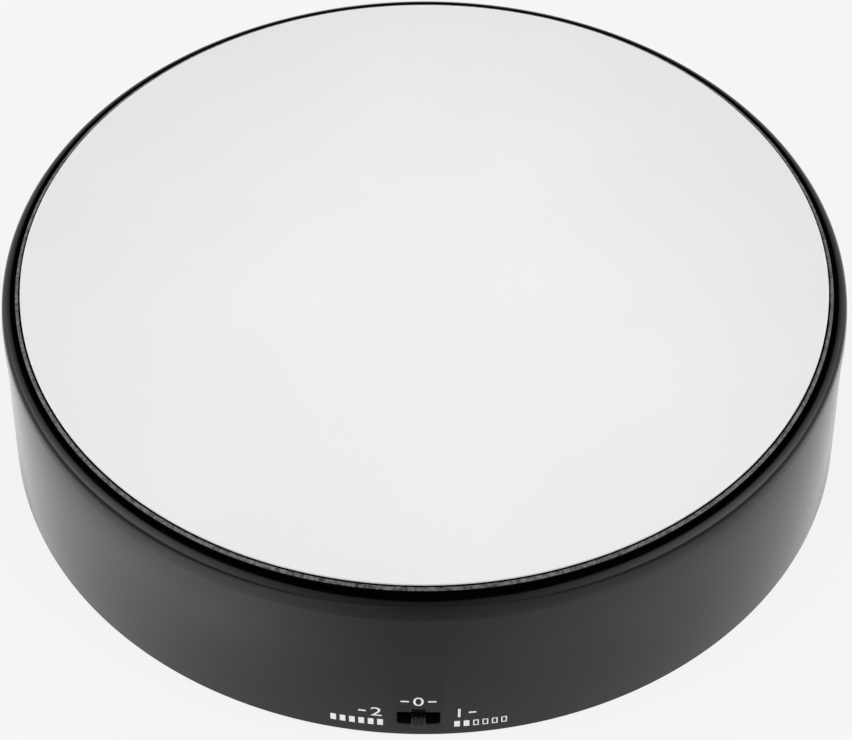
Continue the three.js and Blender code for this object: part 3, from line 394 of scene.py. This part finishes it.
materials = make_materials()


def finish_cad_nodes():
    """Every CAD node that stays in view gets the detailed material of its record slot."""
    for entry in frame["record"]["subparts"]:
        cad = nodes[entry["node"]]
        cad.data.materials.clear()
        cad.data.materials.append(materials[entry["material_slot"]])


# ---------------------------------------------------------------- mesh helpers

def fillet(corners, steps=6):
    """Rounds the corners of a closed outline. Each corner is (x, y, radius)."""
    outline = []
    count = len(corners)
    for index, (x, y, radius) in enumerate(corners):
        corner = Vector((x, y))
        if radius <= 0:
            outline.append((x, y))
            continue
        before = Vector(corners[index - 1][:2]) - corner
        after = Vector(corners[(index + 1) % count][:2]) - corner
        before.normalize()
        after.normalize()
        half = before.angle(after) / 2
        reach = radius / math.tan(half)
        centre = corner + (before + after).normalized() * (radius / math.sin(half))
        start = corner + before * reach - centre
        end = corner + after * reach - centre
        sweep = start.angle_signed(end)
        for step in range(steps + 1):
            angle = -sweep * step / steps
            turned = Matrix.Rotation(angle, 2) @ start
            point = centre + turned
            outline.append((point.x, point.y))
    return outline


def piece(name, mesh, material, body, replaced=(), sharp=30):
    """Makes the object of a mesh in place, shades it, and lets it ride on a CAD body."""
    mesh.materials.clear()
    mesh.materials.append(materials[material])
    mesh.shade_smooth()
    mesh.set_sharp_from_angle(angle=math.radians(sharp))
    made = bpy.data.objects.new(name, mesh)
    scene.collection.objects.link(made)
    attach(made, body)
    if replaced:
        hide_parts(*replaced)
    return made


def mesh_from(shape, name):
    bmesh.ops.remove_doubles(shape, verts=shape.verts, dist=1e-8)
    bmesh.ops.recalc_face_normals(shape, faces=shape.faces)
    mesh = bpy.data.meshes.new(name)
    shape.to_mesh(mesh)
    shape.free()
    return mesh


def lathe(name, profile, segments=FINE):
    """A closed profile of (radius, height) in millimetres, turned about Z. A profile that
    starts and ends on the axis is closed by the axis."""
    on_axis = profile[0][0] == 0 and profile[-1][0] == 0
    shape = bmesh.new()
    rings = []
    for radius, height in profile:
        if radius == 0:
            rings.append([shape.verts.new((0, 0, height * MM))])
            continue
        rings.append([
            shape.verts.new((
                radius * MM * math.cos(2 * math.pi * k / segments),
                radius * MM * math.sin(2 * math.pi * k / segments),
                height * MM,
            ))
            for k in range(segments)
        ])
    pairs = list(zip(rings, rings[1:]))
    if not on_axis:
        pairs.append((rings[-1], rings[0]))
    for lower, upper in pairs:
        for k in range(segments):
            n = (k + 1) % segments
            corners = [lower[k % len(lower)], lower[n % len(lower)],
                       upper[n % len(upper)], upper[k % len(upper)]]
            unique = list(dict.fromkeys(corners))
            if len(unique) > 2:
                shape.faces.new(unique)
    return mesh_from(shape, name)


def loft(name, loops):
    """Closed loops of 3-D points in millimetres, joined in turn and capped at both ends."""
    shape = bmesh.new()
    rings = [[shape.verts.new(Vector(p) * MM) for p in loop] for loop in loops]
    count = len(rings[0])
    for lower, upper in zip(rings, rings[1:]):
        for k in range(count):
            n = (k + 1) % count
            shape.faces.new((lower[k], lower[n], upper[n], upper[k]))
    shape.faces.new(list(reversed(rings[0])))
    shape.faces.new(rings[-1])
    return mesh_from(shape, name)


def rounded_rectangle(width, height, radius, steps=5):
    w, h = width / 2, height / 2
    return fillet([(w, -h, radius), (w, h, radius), (-w, h, radius), (-w, -h, radius)], steps)


def block(name, low, high, bevel=0.0, segments=2):
    """A box between two corners in millimetres with rounded edges."""
    shape = bmesh.new()
    bmesh.ops.create_cube(shape, size=1.0)
    for vert in shape.verts:
        for axis in range(3):
            middle = (low[axis] + high[axis]) / 2
            vert.co[axis] = (middle + vert.co[axis] * (high[axis] - low[axis])) * MM
    if bevel:
        bmesh.ops.bevel(shape, geom=list(shape.edges), offset=bevel * MM,
                        segments=segments, affect="EDGES", profile=0.5)
    return mesh_from(shape, name)


def drum(name, radius, low, high, place=(0, 0), bevel=0.0, segments=ROUND):
    """An upright cylinder in millimetres with flat many-sided ends and rounded rims."""
    outline = [(math.cos(2 * math.pi * k / segments), math.sin(2 * math.pi * k / segments))
               for k in range(segments)]
    levels = [(radius, low), (radius, high)]
    if bevel:
        corner = 0.3 * bevel
        levels = [(radius - bevel, low), (radius - corner, low + corner), (radius, low + bevel),
                  (radius, high - bevel), (radius - corner, high - corner),
                  (radius - bevel, high)]
    loops = [[(place[0] + r * x, place[1] + r * y, z) for x, y in outline] for r, z in levels]
    return loft(name, loops)


def combined(target, other, operation):
    """The first mesh with the second cut from it or joined to it. Both are used up."""
    first = bpy.data.objects.new("target", target)
    second = bpy.data.objects.new("tool", other)
    for made in (first, second):
        scene.collection.objects.link(made)
    modifier = first.modifiers.new("combine", "BOOLEAN")
    modifier.operation = operation
    modifier.solver = "EXACT"
    modifier.object = second
    bpy.context.view_layer.update()
    graph = bpy.context.evaluated_depsgraph_get()
    result = bpy.data.meshes.new_from_object(first.evaluated_get(graph))
    for made in (first, second):
        bpy.data.objects.remove(made)
    for mesh in (target, other):
        bpy.data.meshes.remove(mesh)
    return result


def cut(target, *tools):
    for tool in tools:
        target = combined(target, tool, "DIFFERENCE")
    return target


def join(target, *others):
    for other in others:
        target = combined(target, other, "UNION")
    return target


def gathered(name, meshes):
    """Several meshes that don't touch as one mesh."""
    shape = bmesh.new()
    for mesh in meshes:
        shape.from_mesh(mesh)
        bpy.data.meshes.remove(mesh)
    mesh = bpy.data.meshes.new(name)
    shape.to_mesh(mesh)
    shape.free()
    return mesh


def softened(made, width, angle=40):
    """Rounds the sharp edges of a piece that booleans left."""
    modifier = made.modifiers.new("soft_edges", "BEVEL")
    modifier.width = width * MM
    modifier.segments = 2
    modifier.limit_method = "ANGLE"
    modifier.angle_limit = math.radians(angle)
    modifier.use_clamp_overlap = True
    modifier.harden_normals = False
    return made


def moved(mesh, x=0.0, y=0.0, z=0.0, turn=0.0, tilt=0.0):
    """Tilts a mesh about X and turns it about Z, in degrees, then moves it in millimetres."""
    rotation = Euler((math.radians(tilt), 0, math.radians(turn))).to_matrix().to_4x4()
    mesh.transform(Matrix.Translation(Vector((x, y, z)) * MM) @ rotation)
    return mesh


def polar(radius, degrees):
    angle = math.radians(degrees)
    return radius * math.cos(angle), radius * math.sin(angle)


# ---------------------------------------------------------------- platter and top sheet

def make_platter():
    """The moulding with its hub and stiffening ring, and the matt ridge round the sheet, a dark
    ring whose lighter speckled grey is a painted highlight.
    """
    profile = fillet([
        (SHAFT_BORE, HUB_BOTTOM, 0.2), (HUB_RADIUS, HUB_BOTTOM, 0.4),
        (HUB_RADIUS, PLATTER_UNDERSIDE, 0.4), (STIFFENER_INNER, PLATTER_UNDERSIDE, 0.2),
        (STIFFENER_INNER, STIFFENER_BOTTOM, 0.3), (STIFFENER_OUTER, STIFFENER_BOTTOM, 0.3),
        (STIFFENER_OUTER, PLATTER_UNDERSIDE, 0.2), (SKIRT_INSIDE, PLATTER_UNDERSIDE, 0.8),
        (SKIRT_INSIDE, SKIRT_BOTTOM, 0.3), (PLATTER_RADIUS, SKIRT_BOTTOM, 0.3),
        (SHOULDER_RADIUS, RIM_TOP, RIM_ROUND), (RIDGE_OUTER, RIM_TOP, 0.12),
        (RIDGE_OUTER, GROOVE_FLOOR, 0.0), (SHEET_RADIUS, GROOVE_FLOOR, 0.05),
        (SHEET_RADIUS, SEAT_TOP, 0.03), (HUB_SCREW_RECESS, SEAT_TOP, 0.1),
        (HUB_SCREW_RECESS, HUB_SCREW_SEAT, 0.0), (HUB_SCREW_HOLE, HUB_SCREW_SEAT, 0.0),
        (HUB_SCREW_HOLE, SHAFT_BORE_TOP, 0.0), (SHAFT_BORE, SHAFT_BORE_TOP, 0.1),
    ], 12)
    piece("platter_moulding", lathe("platter_moulding", profile), "platter_black", "platter",
          ["platter"])
    ridge = fillet([
        (RIDGE_OUTER, GROOVE_FLOOR - 0.1, 0.0), (RIDGE_OUTER, RIDGE_FOOT, 0.05),
        (RIDGE_INNER, RIDGE_TOP, 0.05), (RIDGE_INNER, GROOVE_FLOOR - 0.1, 0.0),
    ], 4)
    # The ridge's lighter speckled grey is a painted highlight round the sheet.
    piece("sheet_ridge", lathe("sheet_ridge", ridge), "ridge_grey_and_painted_highlight", "platter", ["platter"])


def make_top_sheet():
    """The white sheet, with a soft edge."""
    edge = 0.12
    top = fillet([
        (0.0, SEAT_TOP, 0.0), (SHEET_RADIUS, SEAT_TOP, 0.05),
        (SHEET_RADIUS, SHEET_TOP, edge), (0.0, SHEET_TOP, 0.0),
    ], 5)
    piece("white_top", lathe("white_top", top), "sheet_white", "platter", ["top_sheet"])


# ---------------------------------------------------------------- base shell

def slot_tool():
    """The switch slot with a small chamfer at the wall's outer face."""
    levels = [(-94.0, 0.0), (-99.35, 0.0), (-99.62, 0.18), (-101.0, 0.9)]
    loops = []
    for y, growth in levels:
        outline = rounded_rectangle(SLOT_WIDTH + 2 * growth, SLOT_TALL + 2 * growth, 0.5 + growth)
        loops.append([(x, y, SLOT_HEIGHT + z) for x, z in outline])
    return loft("slot_tool", loops)


def make_base_shell():
    """Wall, deck and lip turned as one, with the switch slot and the roller pockets cut."""
    profile = fillet([
        (WALL_INSIDE, BASE_BOTTOM, 0.2), (WALL_RADIUS, BASE_BOTTOM, 0.25),
        (WALL_RADIUS, WALL_TOP, 0.35), (LIP_OUTER, WALL_TOP, 0.2), (LIP_OUTER, LIP_TOP, 0.3),
        (LIP_INNER, LIP_TOP, 0.3), (LIP_INNER, DECK_TOP, 0.4), (DECK_HOLE, DECK_TOP, 0.2),
        (DECK_HOLE, DECK_UNDERSIDE, 0.2), (WALL_INSIDE, DECK_UNDERSIDE, 0.8),
    ], 5)
    shell = lathe("base_wall", profile)
    pockets = []
    for angle in CORNER_ANGLES:
        low = (ROLLER_CIRCLE - 3.5, -5.4, DECK_UNDERSIDE - 1)
        high = (ROLLER_CIRCLE + 3.5, 5.4, DECK_TOP + 1)
        pockets.append(moved(block("pocket", low, high), turn=angle))
    shell = cut(shell, slot_tool(), *pockets)
    piece("base_wall", shell, "shell_black", "base", ["base_shell"])


def make_base_inside():
    """Posts, bosses, roller cheeks and switch rails of the base shell."""
    inside = []
    for angle in COVER_SCREW_ANGLES:
        place = polar(COVER_SCREW_CIRCLE, angle)
        post = drum("post", 4.0, POST_BOTTOM, DECK_UNDERSIDE, place, 0.3, 32)
        bore = drum("bore", 1.4, POST_BOTTOM - 1.1, 20.0, place, 0.0, 24)
        inside.append(cut(post, bore))
    for x in BOSS_X:
        for y in BOSS_Y:
            inside.append(drum("boss", 3.2, DECK_TOP, BOSS_TOP, (x, y), 0.3, 32))
    for angle in CORNER_ANGLES:
        for low, high in ((-CHEEK_OUTER, -CHEEK_INNER), (CHEEK_INNER, CHEEK_OUTER)):
            cheek = block("cheek", (low, -2.6, DECK_TOP - 0.5), (high, 2.6, CHEEK_TOP), 0.3)
            hole = moved(drum("hole", 1.05, low - 1, high + 1, segments=24), tilt=90, turn=90)
            cheek = cut(cheek, moved(hole, z=AXLE_HEIGHT))
            cheek = moved(cheek, x=ROLLER_CIRCLE)
            inside.append(moved(cheek, turn=angle))
    for low, high in ((-RAIL_OUTER, -RAIL_INNER), (RAIL_INNER, RAIL_OUTER)):
        inside.append(block("rail", (low, -97.0, 3.7), (high, -88.5, 13.4), 0.25))
    piece("base_inside", gathered("base_inside", inside), "shell_black", "base")


# ---------------------------------------------------------------- underside

def make_feet():
    """Rubber feet with a rounded tread and a ring groove."""
    profile = fillet([
        (0.0, 0.35, 0.0), (2.4, 0.35, 0.3), (2.9, 0.0, 0.3), (5.2, 0.0, 0.2), (5.5, 0.35, 0.1),
        (5.9, 0.35, 0.1), (6.2, 0.0, 0.2), (7.9, 0.0, 0.55), (8.0, 2.1, 0.2), (0.0, 2.1, 0.0),
    ], 4)
    for index, angle in enumerate(CORNER_ANGLES, 1):
        foot = moved(lathe("foot", profile, ROUND), *polar(FOOT_CIRCLE, angle))
        piece(f"rubber_foot_{index}", foot, "foot_rubber", "base", [f"foot_{index}"])


def make_underside():
    """Soft edges on the moulded pieces of the underside, and a ring rib on the cover."""
    for name in ("bottom_cover", "battery_door"):
        softened(nodes[name], 0.22)
    rib = lathe("cover_rib", fillet([
        (91.0, BASE_BOTTOM + 0.2, 0.0), (91.2, BASE_BOTTOM - 0.35, 0.15),
        (92.2, BASE_BOTTOM - 0.35, 0.15), (92.4, BASE_BOTTOM + 0.2, 0.0),
    ], 3))
    piece("cover_rib", rib, "shell_black", "base")


def make_cells():
    """Plain AA cells: a lacquered jacket with a band, and bare metal ends."""
    jacket = fillet([(6.2, -24.6, 0.2), (7.1, -24.6, 0.5), (7.1, 23.4, 0.6), (5.4, 23.4, 0.2)], 5)
    ends = fillet([
        (0.0, -CELL_END, 0.0), (5.6, -CELL_END, 0.4), (6.3, -24.3, 0.1), (6.3, 23.0, 0.1),
        (5.6, 23.25, 0.1), (2.7, 23.25, 0.3), (2.7, CELL_END, 0.5), (0.0, CELL_END, 0.0),
    ], 5)
    band = fillet([(6.9, 15.2, 0.0), (7.13, 15.2, 0.0), (7.13, 22.9, 0.0), (6.9, 22.9, 0.0)], 1)
    for index, y in enumerate(CELL_Y, 1):
        turn = Euler((0, math.radians(90 if index % 2 else -90), 0)).to_matrix().to_4x4()
        place = Matrix.Translation(Vector((0, y, CELL_Z)) * MM) @ turn
        for part, profile, material in (("jacket", jacket, "cell_jacket"),
                                        ("ends", ends, "steel"), ("band", band, "brass")):
            mesh = lathe(part, profile, ROUND)
            mesh.transform(place)
            piece(f"cell_{part}_{index}", mesh, material, "base", [f"cell_{index}"])


def spring_wire(y, side):
    """A conical coil spring against one end wall, reaching for a cell."""
    turns = 4
    steps = 24 * turns
    wire = 0.3
    sides = 8
    loops = []
    for k in range(steps + 1):
        part = k / steps
        angle = 2 * math.pi * turns * part
        radius = 3.9 - 1.5 * part
        centre = Vector((0.35 + 2.3 * part, radius * math.cos(angle), radius * math.sin(angle)))
        outward = Vector((0, math.cos(angle), math.sin(angle)))
        along = Vector((1, 0, 0))
        loop = []
        for j in range(sides):
            turn = 2 * math.pi * j / sides
            point = centre + wire * (outward * math.cos(turn) + along * math.sin(turn))
            loop.append((side * (BATTERY_HALF_X - 0.3 - point.x), y + point.y, CELL_Z + point.z))
        loops.append(loop)
    return loft("spring", loops)


def make_contacts():
    """Sheet metal contacts with a coil spring or a pressed dimple for each cell."""
    places = (
        ("contact_positive", 1, ((0, False),)),
        ("contact_bridge_right", 1, ((1, True), (2, False))),
        ("contact_bridge_left", -1, ((0, True), (1, False))),
        ("contact_negative", -1, ((2, True),)),
    )
    outer = BATTERY_HALF_X - 0.1
    for name, side, cells in places:
        first = CELL_Y[cells[0][0]] - 5.6
        last = CELL_Y[cells[-1][0]] + 5.6
        low, high = sorted((side * outer, side * (outer - 0.4)))
        meshes = [block("plate", (low, first, CELL_Z - 5), (high, last, CELL_Z + 5), 0.12)]
        for index, sprung in cells:
            if sprung:
                meshes.append(spring_wire(CELL_Y[index], side))
                continue
            dimple = lathe("dimple", fillet([
                (0.0, 0.0, 0.0), (3.9, 0.0, 0.0), (3.2, 0.9, 0.5), (2.0, 1.9, 0.5),
                (0.0, 1.9, 0.0),
            ], 4), 32)
            turn = Euler((0, math.radians(-90 * side), 0)).to_matrix().to_4x4()
            place = Vector((side * (outer - 0.3), CELL_Y[index], CELL_Z)) * MM
            dimple.transform(Matrix.Translation(place) @ turn)
            meshes.append(dimple)
        piece(f"{name}_metal", gathered(name, meshes), "steel", "base", [name])


# ---------------------------------------------------------------- switch and its marks

def make_knob():
    """The carriage behind the slot and the stem through it, with two finger grooves."""
    carriage = block("carriage", (-4.8, -96.1, SLOT_HEIGHT - 1.75),
                     (4.8, -93.4, SLOT_HEIGHT + 1.75), 0.2)
    stem = block("stem", (-KNOB_HALF_WIDTH, KNOB_FRONT, SLOT_HEIGHT - KNOB_HALF_HEIGHT),
                 (KNOB_HALF_WIDTH, -95.6, SLOT_HEIGHT + KNOB_HALF_HEIGHT), 0.28, 3)
    knob = join(carriage, stem)
    for x in (-0.63, 0.63):
        knob = cut(knob, moved(drum("groove", 0.34, 0, 14, segments=24), x, KNOB_FRONT))
    softened(piece("switch_thumb", knob, "switch_black", "switch_slider", ["switch_knob"]), 0.08)


def wrapped(mesh, x, z, relief):
    """Lays a flat X-Z mesh on the wall, centred x to the right of the switch."""
    for vert in mesh.vertices:
        across = x * MM + vert.co.x
        angle = across / (WALL_RADIUS * MM)
        radius = WALL_RADIUS * MM + relief * MM + vert.co.y
        vert.co = Vector((
            radius * math.sin(angle),
            -radius * math.cos(angle),
            z * MM + vert.co.z,
        ))
    return mesh


def digit_mesh(text, height, stretch):
    """A printed numeral, centred, in the X-Z plane."""
    curve = bpy.data.curves.new("numeral", "FONT")
    curve.body = text
    curve.align_x = "CENTER"
    curve.align_y = "CENTER"
    curve.extrude = 0.004
    made = bpy.data.objects.new("numeral", curve)
    scene.collection.objects.link(made)
    bpy.context.view_layer.update()
    graph = bpy.context.evaluated_depsgraph_get()
    mesh = bpy.data.meshes.new_from_object(made.evaluated_get(graph))
    bpy.data.objects.remove(made)
    low = min(v.co.y for v in mesh.vertices)
    high = max(v.co.y for v in mesh.vertices)
    left = min(v.co.x for v in mesh.vertices)
    right = max(v.co.x for v in mesh.vertices)
    scale = height * MM / (high - low)
    for vert in mesh.vertices:
        vert.co = Vector((
            (vert.co.x - (left + right) / 2) * scale * stretch,
            vert.co.z * MM,
            (vert.co.y - (low + high) / 2) * scale,
        ))
    return mesh


def bar(x, z, width, height):
    """A printed bar in the X-Z plane."""
    thick = 0.004
    loops = []
    for y in (thick, -thick):
        loops.append([
            (x - width / 2, y, z - height / 2),
            (x + width / 2, y, z - height / 2),
            (x + width / 2, y, z + height / 2),
            (x - width / 2, y, z + height / 2),
        ])
    return loft("bar", loops)


def hollow_bar(x, z, width, height, line):
    """A printed outline of a bar."""
    outer = bar(x, z, width, height)
    inner = loft("inner", [
        [(x + sx * (width / 2 - line), y, z + sz * (height / 2 - line))
         for sx, sz in ((-1, -1), (1, -1), (1, 1), (-1, 1))]
        for y in (1.0, -1.0)
    ])
    return cut(outer, inner)


def make_marks():
    """Generic printing round the switch: 0 for off, 2 and six full bars for fast, 1 and two
    full bars of six for slow."""
    relief = 0.012
    off = [
        wrapped(digit_mesh("0", 3.0, 1.25), 0, 13.4, relief),
        wrapped(bar(-3.1, 0, 1.9, 0.5), 0, 13.4, relief),
        wrapped(bar(3.1, 0, 1.9, 0.5), 0, 13.4, relief),
    ]
    fast = [
        wrapped(bar(-1.6, 0, 1.7, 0.5), -11.2, 9.1, relief),
        wrapped(digit_mesh("2", 3.0, 1.35), -9.6, 9.1, relief),
    ]
    slow = [
        wrapped(digit_mesh("1", 3.0, 1.35), 9.2, 8.9, relief),
        wrapped(bar(1.6, 0, 1.7, 0.5), 10.6, 8.9, relief),
    ]
    pitch = 2.15
    for k in range(6):
        offset = (k - 2.5) * pitch
        fast.append(wrapped(bar(offset, 0, 1.3, 2.1), -14.1, 5.4, relief))
        if k < 2:
            slow.append(wrapped(bar(offset, 0, 1.3, 2.0), 14.1, 5.0, relief))
        else:
            slow.append(wrapped(hollow_bar(offset, 0, 1.3, 2.0, 0.28), 14.1, 5.0, relief))
    for name, meshes in (("mark_off", off), ("mark_fast", fast), ("mark_slow", slow)):
        piece(name, gathered(name, meshes), "ink_white", "base")


# ---------------------------------------------------------------- assembly

make_studio()
finish_cad_nodes()
make_platter()
make_top_sheet()
make_base_shell()
make_base_inside()
make_feet()
make_underside()
make_cells()
make_contacts()
make_knob()
make_marks()
